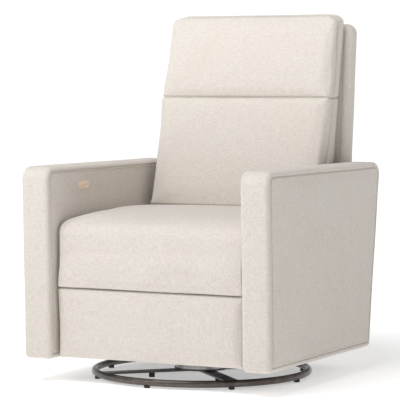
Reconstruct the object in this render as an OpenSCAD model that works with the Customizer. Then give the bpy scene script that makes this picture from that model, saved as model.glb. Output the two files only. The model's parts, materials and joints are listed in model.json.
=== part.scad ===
// Swivel glider recliner chair for a nursery.
// The chair faces -Y, +Z is up, and the origin is on the floor at the centre of its outline.
// Side profiles are drawn as (y, z) points and extruded across the chair along X.

/* [Overall] */
// Full width over both arms
chair_w = 760; // [700:10:820]
// Thickness of one arm
arm_t = 85; // [70:5:100]
// Height of the arm tops
arm_top = 602; // [580:2:620]
// Height of the arms and footrest above the floor
skirt_z = 66; // [60:1:72]
// Foremost point of the arms, in front of the origin
arm_front = 412; // [400:1:420]

/* [Seat and back] */
// Gap between a cushion and the arm beside it
side_gap = 4.5; // [3:0.5:8]
// Height of the seam under the seat cushion
seat_seam_z = 265; // [260:1:270]
// Half the width of the back cushion
back_half_w = 275; // [260:1:282]
// Height of the seam between the back and the head cushion
head_seam_z = 790; // [760:5:810]
// Height of the top of the head cushion
head_top = 1034; // [1000:2:1050]
// Height of the top of the rear panel
rear_top = 1006; // [990:2:1015]
// Thickness of the rear panel
rear_t = 60; // [50:1:65]

/* [Base] */
// Radius of the floor ring, to the middle of its tube
ring_r = 304.5; // [280:0.5:320]
// Radius of the ring tube
ring_tube_r = 10; // [9:0.5:11]
// Distance of the swivel axis behind the origin, negative is in front
swivel_y = -47; // [-60:1:-30]
// Width of the flat crossbars
crossbar_w = 38; // [30:1:45]
// Thickness of the flat crossbars
crossbar_t = 5; // [4:1:6]
// Number of ball bearings in the swivel
ball_count = 16; // [12:1:20]

/* [Glide] */
// Length of the swing links between their pivots
link_len = 120; // [100:5:125]
// Half the distance between the front and rear links
link_half = 90; // [80:1:95]

/* [Hidden] */
$fn = 48;

// Running clearance on a radius, and the gap between pieces that lie side by side
run_gap = 0.05;
gap = 0.3;

// Base levels
ring_z = 15.5;
bar_z = 14.5;
bar_top = bar_z + crossbar_t;
bar_reach = ring_r - 6;
hub_r = 78;
hub_t = 5;
hub_top = bar_top + hub_t;
pin_r = 8;

// Ball bearing of the swivel
ball_r = 4;
ball_ring_r = 65;
ball_z = hub_top + 7.8;
race_gap = 0.8;
lower_race_top = ball_z - race_gap;
upper_race_z = ball_z + race_gap;
plate_z = ball_z + 8.2;
plate_t = 5;
plate_top = plate_z + plate_t;

// Glide linkage: the links hang between the hangers and the rails
hanger_x = 150;
hanger_t = 4;
link_x = 157;
link_t = 4;
rail_x = 163;
rail_w = 12;
rail_h = 30;
link_bottom_z = 85;
link_top_z = link_bottom_z + link_len;
front_link_y = swivel_y - link_half;
rear_link_y = swivel_y + link_half;
link_pin_r = 5;
bush_r = 8;

// Chassis
plate_x = 255;
steel_t = 4;
seat_base_z = 267;
seat_board_t = 12;
seat_board_half_w = 275;
seat_board_front = -355;
seat_board_l = 553;
seat_rear = 203;
seat_front = -371;
seam_half = 2.3;
front_tube_y = -215;
rear_tube_y = 128;
cross_tube_r = 12.5;

// Arms
arm_x = chair_w / 2 - arm_t;
arm_skin = 8;
arm_bottom_front = arm_front - 16;
arm_top_rear = 373;
arm_bottom_rear = 295;
arm_round = 36;

// Footrest linkage, closed, as (y, z) points
foot_master = [-255, 226];
foot_knee = [-225, 90];
foot_tip = [-288, 215];
guide_root = [-215, 219];
guide_end = [-196, 75];
tilt_root = [-236, 119];
tilt_end = [-298, 248];
master_pin_r = 6;
foot_tube_r = 12;
lower_link_x = 249;
tilt_link_x = 243;
upper_link_x = 237;
guide_link_x = 231;
link_half_w = 9;
linkage_pin_r = 5;
tilt_pin_r = 4;
foot_pad_front = -371;
foot_board_y = -321;
foot_board_t = 10;
foot_top_z = 263;
crank_r = 40;
crank_closed_angle = 49.3;
foot_crank_pin = guide_root + crank_r * [sin(crank_closed_angle), -cos(crank_closed_angle)];
foot_drive_x = -60;

// Recline
recline_axis = [245, 215];
recline_crank_r = 80;
recline_tube_r = 10;
recline_crank_angle = 14;
recline_pin = recline_axis + recline_crank_r * [sin(recline_crank_angle), -cos(recline_crank_angle)];
recline_drive_x = 60;
back_arm_x = 243;
back_bottom_z = 473;
head_axis = [234, head_seam_z];
head_barrel_r = 6.5;
head_gap = 2.5;

// Control plate on the inner face of the chair's right arm
control_y = -209;
control_z = 545;
control_l = 54;
control_h = 22;
control_t = 3;
control_corner_r = 5;
button_pitch = 20;
button_r = 5;
button_gap = 0.15;
button_socket_r = button_r + 1;

// (y, z) of a push button; side is -1 for the front one and 1 for the rear one
function button_at(side) = [control_y + side * button_pitch / 2, control_z];

// Leaning lines of the back, each giving y for a height z
function cushion_front(z) = 226 + (z - 790) * 0.272;
function cushion_rear(z) = 260 + (z - 609) * 0.182;
function panel_rear(z) = arm_front + (z - 985) * 0.088;
board_t = 11.7;

// Unit vector, and the corner of a polygon rounded to radius r in n steps
function unit(v) = v / norm(v);
function turn(a) = a > 180 ? a - 360 : (a < -180 ? a + 360 : a);
function corner_arc(before, at, after, r, n = 8) =
  let (
    a = unit(before - at),
    b = unit(after - at),
    half = acos(a * b) / 2,
    back = r / tan(half),
    centre = at + unit(a + b) * r / sin(half),
    first = at + a * back - centre,
    last = at + b * back - centre,
    start = atan2(first[1], first[0]),
    sweep = turn(atan2(last[1], last[0]) - start)
  )
  [for (i = [0:n]) centre + r * [cos(start + sweep * i / n), sin(start + sweep * i / n)]];
function rounded(points, radii) =
  let (count = len(points))
  [for (i = [0:count - 1]) each
    (radii[i] == 0
      ? [points[i]]
      : corner_arc(points[(i + count - 1) % count], points[i], points[(i + 1) % count], radii[i]))];

// Colours
linen = [0.87, 0.84, 0.79];
bronze = [0.13, 0.12, 0.12];
steel = [0.55, 0.56, 0.58];
timber = [0.76, 0.62, 0.43];
dark = [0.08, 0.08, 0.09];
rose = [0.85, 0.70, 0.56];
brass = [0.72, 0.6, 0.35];

// Extrudes a (y, z) profile from x = x0 over a thickness t
module across(x0, t) {
  translate([x0, 0, 0]) rotate([90, 0, 90]) linear_extrude(t) children();
}

module both_sides() {
  children();
  mirror([1, 0, 0]) children();
}

// Flat link through (y, z) points, with a round eye at each point
module link(points, half_w) {
  eye_r = half_w + 2;
  for (at = points) translate(at) circle(r = eye_r);
  for (i = [1:len(points) - 1]) {
    run = points[i] - points[i - 1];
    translate(points[i - 1]) rotate(atan2(run[1], run[0])) translate([0, -half_w])
      square([norm(run), 2 * half_w]);
  }
}

// Round bar along X through a (y, z) point
module axle(at, x0, x1, r) {
  translate([x0, at[0], at[1]]) rotate([0, 90, 0]) cylinder(h = x1 - x0, r = r);
}

module at_swivel() {
  translate([0, swivel_y, 0]) children();
}

// ---- Base ----

module base_ring() {
  color(bronze) at_swivel() translate([0, 0, ring_z]) rotate_extrude($fn = 96)
    translate([ring_r, 0]) circle(r = ring_tube_r);
}

module base_crossbars() {
  color(bronze) at_swivel() difference() {
    for (a = [45, 135]) rotate(a)
      translate([-bar_reach, -crossbar_w / 2, bar_z]) cube([2 * bar_reach, crossbar_w, crossbar_t]);
    translate([0, 0, bar_z - 1]) cylinder(h = crossbar_t + 2, r = pin_r);
  }
}

// Eight glides pressed into the ring and four under the crossbars
module floor_glides() {
  glide_r = 8.5;
  stem_r = 3;
  bar_glide_r = 149;
  color(dark) at_swivel() {
    for (i = [0:7]) rotate(i * 45 - 2.5) translate([ring_r, 0, 0]) {
      cylinder(h = 6.5, r = glide_r);
      cylinder(h = 14, r = stem_r);
    }
    for (i = [0:3]) rotate(i * 90 + 45) translate([bar_glide_r, 0, 0]) cylinder(h = bar_z, r = glide_r);
  }
}

module hub_plate() {
  color(bronze) at_swivel() difference() {
    translate([0, 0, bar_top]) cylinder(h = hub_t, r = hub_r);
    translate([0, 0, bar_top - 1]) cylinder(h = hub_t + 2, r = pin_r);
  }
}

module race_groove() {
  translate([0, 0, ball_z]) rotate_extrude() translate([ball_ring_r, 0]) circle(r = ball_r + run_gap);
}

module bearing_lower_race() {
  color(steel) at_swivel() difference() {
    translate([0, 0, hub_top]) cylinder(h = lower_race_top - hub_top, r = ball_ring_r + 10);
    translate([0, 0, hub_top - 1]) cylinder(h = 20, r = ball_ring_r - 10);
    race_groove();
  }
}

module king_pin() {
  color(steel) at_swivel() translate([0, 0, bar_z]) cylinder(h = plate_top + 12 - bar_z, r = pin_r);
}

module king_nut() {
  color(steel) at_swivel() translate([0, 0, plate_top + gap]) difference() {
    cylinder(h = 8, r = 14, $fn = 6);
    translate([0, 0, -1]) cylinder(h = 10, r = pin_r);
  }
}

module bearing_cage() {
  color(brass) at_swivel() difference() {
    translate([0, 0, ball_z - 0.4]) cylinder(h = 0.8, r = ball_ring_r + 9);
    translate([0, 0, ball_z - 1]) cylinder(h = 2, r = ball_ring_r - 9);
    for (i = [0:ball_count - 1]) rotate(i * 360 / ball_count)
      translate([ball_ring_r, 0, ball_z - 1]) cylinder(h = 2, r = ball_r + run_gap);
  }
}

module bearing_balls() {
  color(steel) at_swivel() for (i = [0:ball_count - 1]) rotate(i * 360 / ball_count)
    translate([ball_ring_r, 0, ball_z]) sphere(r = ball_r);
}

// ---- Swivel frame ----

module bearing_upper_race() {
  color(steel) at_swivel() difference() {
    translate([0, 0, upper_race_z]) cylinder(h = plate_z - upper_race_z, r = ball_ring_r + 10);
    translate([0, 0, upper_race_z - 1]) cylinder(h = 20, r = ball_ring_r - 10);
    race_groove();
  }
}

module swivel_plate() {
  half_y = link_half + 5;
  color(dark) at_swivel() difference() {
    translate([-hanger_x, -half_y, plate_z]) cube([2 * hanger_x, 2 * half_y, plate_t]);
    translate([0, 0, plate_z - 1]) cylinder(h = plate_t + 2, r = pin_r + run_gap);
    hanger_bolt_places() translate([0, 0, plate_z - 1]) cylinder(h = plate_t + 2, r = 4);
  }
}

module hanger_bolt_places() {
  for (x = [-1, 1], y = [-60, 60]) translate([x * (hanger_x - 14), y, 0]) children();
}

// Angle brackets that carry the top pivots of the glide links
module hanger_brackets() {
  foot_w = 26;
  half_y = link_half + 15;
  color(dark) difference() {
    both_sides() {
      across(hanger_x, hanger_t) difference() {
        translate([swivel_y, 0]) polygon(rounded([
          [-half_y, plate_z],
          [half_y, plate_z],
          [half_y, link_top_z + 14],
          [half_y - 30, link_top_z + 14],
          [0, 120],
          [-half_y + 30, link_top_z + 14],
          [-half_y, link_top_z + 14]
        ], [0, 0, 12, 12, 40, 12, 12]));
        for (y = [front_link_y, rear_link_y]) translate([y, link_top_z]) circle(r = link_pin_r);
      }
      translate([hanger_x - foot_w, swivel_y - link_half - 5, plate_top])
        cube([foot_w, 2 * link_half + 10, 4]);
    }
    at_swivel() hanger_bolt_places() translate([0, 0, plate_top - 1]) cylinder(h = 6, r = 4);
  }
}

module hanger_bolts() {
  color(steel) at_swivel() hanger_bolt_places() {
    translate([0, 0, plate_z - 4]) cylinder(h = plate_t + 12, r = 4);
    translate([0, 0, plate_top + 4]) cylinder(h = 5, r = 7.5, $fn = 6);
  }
}

module glide_pivot_bolts() {
  color(steel) both_sides() for (y = [front_link_y, rear_link_y]) {
    axle([y, link_top_z], hanger_x - 0.5, link_x + link_t + 1, link_pin_r);
    axle([y, link_top_z], hanger_x - 4.5, hanger_x, 9);
    axle([y, link_top_z], link_x + link_t + 0.5, link_x + link_t + 4.5, 9);
  }
}

// ---- Glide links ----

module glide_link_pair(y) {
  both_sides() across(link_x, link_t) difference() {
    link([[y, link_bottom_z], [y, link_top_z]], 12);
    translate([y, link_bottom_z]) circle(r = bush_r);
    translate([y, link_top_z]) circle(r = bush_r);
  }
}

module link_bush_set(y) {
  both_sides() for (z = [link_bottom_z, link_top_z]) difference() {
    axle([y, z], link_x, link_x + link_t, bush_r);
    axle([y, z], link_x - 1, link_x + link_t + 1, link_pin_r + run_gap);
  }
}

module front_glide_links() {
  color(steel) glide_link_pair(front_link_y);
}

module rear_glide_links() {
  color(steel) glide_link_pair(rear_link_y);
}

module front_link_bushes() {
  color(dark) link_bush_set(front_link_y);
}

module rear_link_bushes() {
  color(dark) link_bush_set(rear_link_y);
}

// ---- Chassis ----

// Rectangular tubes that the glide links carry
module glide_rails() {
  wall = 2;
  front = -235;
  rear = 240;
  color(dark) both_sides() difference() {
    translate([rail_x, front, link_bottom_z - rail_h / 2]) cube([rail_w, rear - front, rail_h]);
    translate([rail_x + wall, front - 1, link_bottom_z - rail_h / 2 + wall])
      cube([rail_w - 2 * wall, rear - front + 2, rail_h - 2 * wall]);
    for (y = [front_link_y, rear_link_y])
      axle([y, link_bottom_z], rail_x - 1, rail_x + rail_w + 1, link_pin_r);
  }
}

module rail_pins() {
  color(steel) both_sides() for (y = [front_link_y, rear_link_y]) {
    axle([y, link_bottom_z], link_x - 1.8, rail_x + rail_w + 1, link_pin_r);
    axle([y, link_bottom_z], rail_x + rail_w, rail_x + rail_w + 5, 9);
  }
}

module chassis_cross_tubes() {
  wall = 2;
  color(dark) for (y = [front_tube_y, rear_tube_y]) difference() {
    axle([y, link_bottom_z], -rail_x, rail_x, cross_tube_r);
    axle([y, link_bottom_z], -rail_x - 1, rail_x + 1, cross_tube_r - wall);
  }
}

module chassis_outriggers() {
  outer_x = rail_x + rail_w;
  bar_w = 40;
  color(dark) both_sides() for (y = [-90, 80]) translate([outer_x, y - bar_w / 2, link_bottom_z - 5])
    cube([plate_x - outer_x, bar_w, 10]);
}

// Steel side plates, with the stub axles of the footrest's lower links
module side_plates() {
  color(dark) both_sides() {
    across(plate_x, steel_t) difference() {
      polygon(rounded([
        [-274, 208], [-196, 186], [-152, 70], [120, 70], [215, 158], [267, 190], [267, 236],
        [205, seat_base_z], [-274, seat_base_z]
      ], [8, 20, 10, 20, 20, 16, 16, 16, 8]));
      translate(guide_root) circle(r = pin_r + run_gap);
      translate(recline_axis) circle(r = pin_r + run_gap);
    }
    axle(foot_master, lower_link_x - 0.5, plate_x, master_pin_r);
  }
}

module seat_cross_rails() {
  color(dark) for (y = [-245, 185]) translate([-plate_x, y - 13, seat_base_z - 25])
    cube([2 * plate_x, 26, 25]);
}

module seat_board() {
  color(timber) translate([-seat_board_half_w, seat_board_front, seat_base_z])
    cube([2 * seat_board_half_w, seat_board_l, seat_board_t]);
}

module seat_cushion() {
  half = arm_x - side_gap;
  color(linen) difference() {
    across(-half, 2 * half) polygon(rounded([
      [seat_front, seat_seam_z + seam_half], [seat_front, 436], [-215, 470], [-60, 484], [120, 468],
      [seat_rear, 455], [seat_rear, seat_seam_z + seam_half]
    ], [4, 48, 150, 200, 100, 12, 4]));
    translate([-seat_board_half_w - gap, seat_board_front - gap, seat_base_z - 5])
      cube([2 * (seat_board_half_w + gap), seat_board_l + 2 * gap, seat_board_t + 5 + gap]);
  }
}

function arm_outline(inset) = [
  [-arm_bottom_front + inset, skirt_z - (inset > 0 ? 1 : 0)],
  [-arm_front + inset, arm_top - inset],
  [arm_top_rear - inset, arm_top - inset],
  [arm_bottom_rear - inset, skirt_z - (inset > 0 ? 1 : 0)]
];

// Padded cover of one arm: a hollow sleeve, open at the bottom, pulled over the timber frame
module arm_cover() {
  across(arm_x, arm_t) polygon(rounded(arm_outline(0), [6, arm_round, arm_round, 6]));
}

module arm_hollow() {
  across(arm_x + arm_skin, arm_t - 2 * arm_skin)
    polygon(rounded(arm_outline(14), [0, arm_round - 14, arm_round - 14, 0]));
}

spacer_places = [[-150, 180], [100, 180]];
spacer_r = 10;

module spacer_bores() {
  for (at = spacer_places) axle(at, arm_x - 1, arm_x + arm_skin + 1, spacer_r);
}

module left_arm_cover() {
  color(linen) difference() {
    arm_cover();
    arm_hollow();
    spacer_bores();
  }
}

module right_arm_cover() {
  color(linen) mirror([1, 0, 0]) difference() {
    arm_cover();
    arm_hollow();
    spacer_bores();
    for (side = [-1, 1]) axle(button_at(side), arm_x - 1, arm_x + 6, button_socket_r);
  }
}

// Posts and rails inside both arms
module arm_frames() {
  x0 = arm_x + arm_skin + gap;
  t = arm_t - 2 * (arm_skin + gap);
  post = 40;
  bottom = skirt_z + 6;
  top = arm_top - 24;
  front = -arm_bottom_front + 20;
  rear = arm_bottom_rear - 20;
  color(timber) both_sides() {
    translate([x0, front, bottom]) cube([t, post, top - bottom]);
    translate([x0, rear - post, bottom]) cube([t, post, top - bottom]);
    translate([x0, front + post, top - post]) cube([t, rear - front - 2 * post, post]);
    translate([x0, front + post, bottom]) cube([t, rear - front - 2 * post, post]);
    translate([x0, front + post, 160]) cube([t, rear - front - 2 * post, post]);
  }
}

// Tubes that hold the arms on the side plates
module arm_spacers() {
  color(steel) both_sides() for (at = spacer_places)
    axle(at, plate_x + steel_t, arm_x + arm_skin + gap, spacer_r);
}

inlet_x = -200;
inlet_z = 100;
inlet_r = 9.5;

module lower_back_panel() {
  half = arm_x - gap;
  color(linen) difference() {
    across(-half, 2 * half) polygon(rounded(
      [[288, 68], [320 - 12, 68], [320, 150], [300, 150]], [3, 6, 6, 6]));
    translate([inlet_x, 270, inlet_z]) rotate([-90, 0, 0]) cylinder(h = 60, r = inlet_r);
  }
}

// Round socket for a low-voltage lead
module power_inlet() {
  color(dark) translate([inlet_x, 294, inlet_z]) rotate([-90, 0, 0]) difference() {
    union() {
      cylinder(h = 21, r = inlet_r);
      translate([0, 0, 20]) cylinder(h = 2, r = 12);
    }
    translate([0, 0, 6]) cylinder(h = 20, r = 3);
  }
}

module control_plate() {
  r = control_corner_r;
  color(rose) difference() {
    across(-arm_x, control_t) polygon(rounded([
      [control_y - control_l / 2, control_z - control_h / 2],
      [control_y + control_l / 2, control_z - control_h / 2],
      [control_y + control_l / 2, control_z + control_h / 2],
      [control_y - control_l / 2, control_z + control_h / 2]
    ], [r, r, r, r]));
    for (side = [-1, 1]) axle(button_at(side), -arm_x - 1, -arm_x + control_t + 1, button_r + button_gap);
  }
}

module button(side) {
  color(rose) axle(button_at(side), -arm_x - 2, -arm_x + 4.5, button_r);
}

module button_open() {
  button(-1);
}

module button_close() {
  button(1);
}

// Motor and guide rail; z_top is the rail's upper face, and the block rides on it
module actuator(x, y_front, y_rear, z_top, post_y) {
  rail_deep = 18;
  color(dark) {
    translate([x - 8, y_front, z_top - rail_deep]) cube([16, y_rear - y_front, rail_deep]);
    translate([x - 8, post_y - 10, link_bottom_z + cross_tube_r])
      cube([16, 20, z_top - rail_deep - link_bottom_z - cross_tube_r]);
  }
}

foot_rail_top = 162;
back_rail_top = 117;
drive_gap = 12;

module footrest_actuator() {
  x = foot_drive_x + drive_gap;
  actuator(x, -300, -150, foot_rail_top, front_tube_y);
  color(dark) translate([x, -150, foot_rail_top - 12]) rotate([-90, 0, 0]) cylinder(h = 90, r = 22);
}

module recline_actuator() {
  x = recline_drive_x + drive_gap;
  actuator(x, 115, 278, back_rail_top, rear_tube_y);
  color(dark) translate([x, 35, back_rail_top + 2]) rotate([-90, 0, 0]) cylinder(h = 80, r = 22);
}

// Block on a guide rail with an upright slot for the crank pin
module drive_block(x, pin_y, z_rail, slot_w, slot_top) {
  wall = 7;
  floor_t = 8;
  half = slot_w / 2 + wall;
  color(steel) difference() {
    translate([x - 11, pin_y - half, z_rail - 10]) cube([22, 2 * half, slot_top + wall - z_rail + 10]);
    translate([x - 8 - gap, pin_y - half - 1, z_rail - 11]) cube([16 + 2 * gap, 2 * half + 2, 11 + gap]);
    translate([x - 12, pin_y - slot_w / 2, z_rail + floor_t]) cube([24, slot_w, slot_top - z_rail - floor_t]);
  }
}

module footrest_drive_block() {
  drive_block(foot_drive_x + drive_gap, foot_crank_pin[0], foot_rail_top, 15, 199);
}

module recline_drive_block() {
  drive_block(recline_drive_x + drive_gap, recline_pin[0], back_rail_top, 12, 146);
}

// ---- Footrest linkage ----

module footrest_lower_links() {
  color(steel) both_sides() across(lower_link_x, steel_t) difference() {
    link([foot_master, foot_knee, tilt_root], link_half_w);
    translate(foot_master) circle(r = master_pin_r + run_gap);
    translate(foot_knee) circle(r = linkage_pin_r);
    translate(tilt_root) circle(r = linkage_pin_r);
  }
}

module lower_link_pins() {
  color(brass) both_sides() {
    axle(foot_knee, upper_link_x - 0.5, lower_link_x + steel_t, linkage_pin_r);
    axle(tilt_root, tilt_link_x - 0.5, lower_link_x + steel_t, linkage_pin_r);
  }
}

module footrest_upper_links() {
  color(steel) both_sides() across(upper_link_x, steel_t) difference() {
    link([guide_end, foot_knee, foot_tip], link_half_w);
    translate(foot_knee) circle(r = linkage_pin_r + run_gap);
    translate(foot_tip) circle(r = linkage_pin_r);
    translate(guide_end) circle(r = linkage_pin_r);
  }
}

module upper_link_pins() {
  color(brass) both_sides() for (at = [foot_tip, guide_end])
    axle(at, guide_link_x - 0.5, upper_link_x + steel_t, linkage_pin_r);
}

// Cross tube that the actuator turns; its ends run in the side plates
module footrest_torque_tube() {
  crank_x = foot_drive_x - 6;
  color(steel) {
    axle(guide_root, -plate_x + 0.5, plate_x - 0.5, foot_tube_r);
    axle(guide_root, -plate_x - steel_t - 1, plate_x + steel_t + 1, pin_r);
    across(crank_x, 6) link([guide_root, foot_crank_pin], link_half_w);
    axle(foot_crank_pin, crank_x, foot_drive_x + 24, linkage_pin_r);
  }
}

module footrest_guide_links() {
  open_pivot_r = linkage_pin_r + 3;
  color(steel) both_sides() across(guide_link_x, steel_t) difference() {
    union() {
      link([guide_root, guide_end], link_half_w);
      translate(guide_root) circle(r = 18);
      translate(guide_end) circle(r = 14);
    }
    translate(guide_root) circle(r = foot_tube_r);
    translate(guide_end) circle(r = open_pivot_r);
  }
}

module footrest_tilt_links() {
  open_pivot_r = tilt_pin_r + 2.4;
  color(steel) both_sides() across(tilt_link_x, steel_t) difference() {
    link([tilt_root, tilt_end], 7.5);
    translate(tilt_root) circle(r = linkage_pin_r + run_gap);
    translate(tilt_end) circle(r = open_pivot_r);
  }
}

// Plates that join the linkage to the footrest board, each with its tilt pin
module footrest_brackets() {
  flange_t = 3;
  rear = foot_board_y + foot_board_t;
  color(steel) both_sides() {
    across(guide_link_x, steel_t) difference() {
      union() {
        link([foot_tip, tilt_end], link_half_w);
        translate([rear, foot_tip[1] - 20]) square([22, 50]);
      }
      translate(foot_tip) circle(r = linkage_pin_r + run_gap);
      translate([rear - 10, 0]) square([10, 300]);
    }
    translate([guide_link_x - 26, rear, foot_tip[1] - 20]) cube([26, flange_t, 50]);
    axle(tilt_end, guide_link_x - 0.5, tilt_link_x + steel_t + 0.5, tilt_pin_r);
  }
}

module footrest_board() {
  half = arm_x - 12;
  color(timber) translate([-half, foot_board_y, skirt_z + 4])
    cube([2 * half, foot_board_t, foot_top_z - skirt_z - 4]);
}

module footrest_pad() {
  half = arm_x - side_gap + 0.5;
  color(linen) across(-half, 2 * half) polygon(rounded([
    [foot_pad_front, skirt_z], [foot_board_y - gap, skirt_z], [foot_board_y - gap, foot_top_z],
    [foot_pad_front, foot_top_z]
  ], [14, 2, 2, 10]));
}

// ---- Back ----

module back_torque_tube() {
  color(steel) {
    axle(recline_axis, -plate_x + 0.5, plate_x - 0.5, recline_tube_r);
    axle(recline_axis, -plate_x - steel_t - 1, plate_x + steel_t + 1, pin_r);
    across(recline_drive_x - 6, 6) link([recline_axis, recline_pin], link_half_w);
    axle(recline_pin, recline_drive_x - 6, recline_drive_x + 24, linkage_pin_r);
  }
}

module back_frame() {
  foot = recline_axis;
  color(steel) both_sides() across(back_arm_x, steel_t) difference() {
    union() {
      translate(foot) circle(r = 18);
      polygon([
        [foot[0] - 16, foot[1]], [foot[0] + 16, foot[1]],
        [cushion_rear(480) + 24, 480], [cushion_rear(780) + 20, 780],
        [cushion_rear(780) + gap, 780], [cushion_rear(480) + gap, 480]
      ]);
    }
    translate(foot) circle(r = recline_tube_r);
  }
}

// Timber cross rails that carry the rear panel
module back_rails() {
  color(timber) for (z = [[530, 570], [735, 765]]) across(-back_arm_x, 2 * back_arm_x) polygon([
    [cushion_rear(z[0]) + gap, z[0]],
    [panel_rear(z[0]) - rear_t, z[0]],
    [panel_rear(z[1]) - rear_t, z[1]],
    [cushion_rear(z[1]) + gap, z[1]]
  ]);
}

module back_board() {
  half = back_half_w - 8;
  z0 = back_bottom_z + 3;
  z1 = head_seam_z - 8;
  color(timber) across(-half, 2 * half) polygon([
    [cushion_rear(z0), z0], [cushion_rear(z1), z1],
    [cushion_rear(z1) - board_t, z1], [cushion_rear(z0) - board_t, z0]
  ]);
}

hinge_slot_w = 12;
head_pin_r = 3.5;
hinge_places = [-160, 148];

// Slots for the hinge leaves, cut from the rear; way is 1 above the seam and -1 below it
module hinge_slots(way) {
  reach = 90;
  barrel_room = head_axis[0] - head_barrel_r - 5;
  for (x = hinge_places) across(x, hinge_slot_w) polygon([
    [barrel_room, head_seam_z - way * 6], [barrel_room, head_seam_z + way * 7],
    [barrel_room + 40, head_seam_z + way * reach], [barrel_room + 200, head_seam_z + way * reach],
    [barrel_room + 200, head_seam_z - way * 6]
  ]);
}

module back_cushion() {
  z0 = back_bottom_z;
  z1 = head_seam_z - head_gap;
  color(linen) difference() {
    across(-back_half_w, 2 * back_half_w) polygon(rounded([
      [cushion_front(z0), z0], [cushion_front(z1), z1],
      [cushion_rear(z1) - board_t - gap, z1], [cushion_rear(z0) - board_t - gap, z0]
    ], [20, 3, 2, 4]));
    hinge_slots(-1);
  }
}

module rear_panel() {
  z0 = 195;
  color(linen) across(-arm_x + 5, 2 * arm_x - 10) polygon(rounded([
    [panel_rear(z0) - rear_t, z0], [panel_rear(z0), z0],
    [panel_rear(rear_top), rear_top], [panel_rear(rear_top) - rear_t, rear_top]
  ], [8, 14, 26, 22]));
}

// Steel leaves of the head hinge, let into slots of the cushions
module back_hinge_leaves() {
  color(steel) for (x = hinge_places) across(x + 1, 4) difference() {
    union() {
      translate(head_axis) circle(r = head_barrel_r);
      polygon([
        [head_axis[0] - 4, head_seam_z - 4], [head_axis[0] + 4, head_seam_z + 4],
        [cushion_rear(760) - board_t, 760], [cushion_rear(716) - board_t, 716]
      ]);
    }
    translate(head_axis) circle(r = head_pin_r + run_gap);
  }
}

module head_hinge_leaves() {
  color(steel) for (x = hinge_places) {
    across(x + 6, 4) {
      translate(head_axis) circle(r = head_barrel_r);
      polygon([
        [head_axis[0] + 4, head_seam_z - 4], [head_axis[0] - 4, head_seam_z + 4],
        [cushion_rear(864) - board_t, 864], [cushion_rear(820) - board_t, 820]
      ]);
    }
    axle(head_axis, x + 0.5, x + 10, head_pin_r);
  }
}

module head_board() {
  half = back_half_w - 8;
  z0 = head_seam_z + 8;
  z1 = head_top - 30;
  color(timber) across(-half, 2 * half) polygon([
    [cushion_rear(z0), z0], [cushion_rear(z1), z1],
    [cushion_rear(z1) - board_t, z1], [cushion_rear(z0) - board_t, z0]
  ]);
}

module head_cushion() {
  z0 = head_seam_z + head_gap;
  z1 = head_top;
  color(linen) difference() {
    across(-back_half_w, 2 * back_half_w) polygon(rounded([
      [cushion_front(z0), z0], [cushion_front(z1), z1],
      [cushion_rear(z1) - board_t - gap, z1], [cushion_rear(z0) - board_t - gap, z0]
    ], [3, 22, 10, 2]));
    hinge_slots(1);
  }
}

base_ring();
base_crossbars();
floor_glides();
hub_plate();
bearing_lower_race();
king_pin();
king_nut();
bearing_cage();
bearing_balls();
bearing_upper_race();
swivel_plate();
hanger_brackets();
hanger_bolts();
glide_pivot_bolts();
front_glide_links();
front_link_bushes();
rear_glide_links();
rear_link_bushes();
glide_rails();
rail_pins();
chassis_cross_tubes();
chassis_outriggers();
side_plates();
seat_cross_rails();
seat_board();
seat_cushion();
arm_frames();
left_arm_cover();
right_arm_cover();
arm_spacers();
lower_back_panel();
power_inlet();
control_plate();
footrest_actuator();
recline_actuator();
button_open();
button_close();
footrest_lower_links();
lower_link_pins();
footrest_upper_links();
upper_link_pins();
footrest_torque_tube();
footrest_guide_links();
footrest_tilt_links();
footrest_brackets();
footrest_board();
footrest_pad();
footrest_drive_block();
back_torque_tube();
back_frame();
back_rails();
back_board();
back_cushion();
rear_panel();
back_hinge_leaves();
recline_drive_block();
head_hinge_leaves();
head_board();
head_cushion();
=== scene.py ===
"""Upholstered swivel glider recliner: soft pieces, materials, light and camera around the CAD frame."""

import json
import math

import bmesh
import bpy
import numpy as np
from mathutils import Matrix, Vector, noise
from mathutils.bvhtree import BVHTree


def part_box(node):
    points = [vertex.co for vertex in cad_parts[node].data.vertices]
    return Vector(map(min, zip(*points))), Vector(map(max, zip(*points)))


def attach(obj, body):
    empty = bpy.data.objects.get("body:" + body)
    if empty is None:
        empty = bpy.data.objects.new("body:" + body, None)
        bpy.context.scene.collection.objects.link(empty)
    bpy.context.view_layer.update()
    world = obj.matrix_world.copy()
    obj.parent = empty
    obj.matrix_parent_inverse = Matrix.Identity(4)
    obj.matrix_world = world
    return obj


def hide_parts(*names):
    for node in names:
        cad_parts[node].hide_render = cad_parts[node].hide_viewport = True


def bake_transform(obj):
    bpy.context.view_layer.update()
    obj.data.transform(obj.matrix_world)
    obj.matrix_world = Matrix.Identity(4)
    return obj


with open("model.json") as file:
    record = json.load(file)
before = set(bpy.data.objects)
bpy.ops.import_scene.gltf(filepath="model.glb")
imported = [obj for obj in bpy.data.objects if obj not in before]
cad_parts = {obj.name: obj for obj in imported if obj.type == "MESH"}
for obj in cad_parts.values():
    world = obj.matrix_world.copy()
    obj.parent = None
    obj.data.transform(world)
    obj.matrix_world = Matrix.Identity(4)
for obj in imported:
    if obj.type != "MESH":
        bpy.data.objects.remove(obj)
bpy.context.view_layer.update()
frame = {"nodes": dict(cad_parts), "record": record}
MM = 0.001


# ---------------------------------------------------------------- sizes taken from the frame

def node_box(name):
    low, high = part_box(name)
    return np.array(low, float), np.array(high, float)


ARM_LOW, ARM_HIGH = node_box("left_arm_cover")
SEAT_LOW, SEAT_HIGH = node_box("seat_cushion")
FOOT_LOW, FOOT_HIGH = node_box("footrest_pad")
BACK_LOW, BACK_HIGH = node_box("back_cushion")
HEAD_LOW, HEAD_HIGH = node_box("head_cushion")
REAR_LOW, REAR_HIGH = node_box("rear_panel")
LOWER_LOW, LOWER_HIGH = node_box("lower_back_panel")

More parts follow.
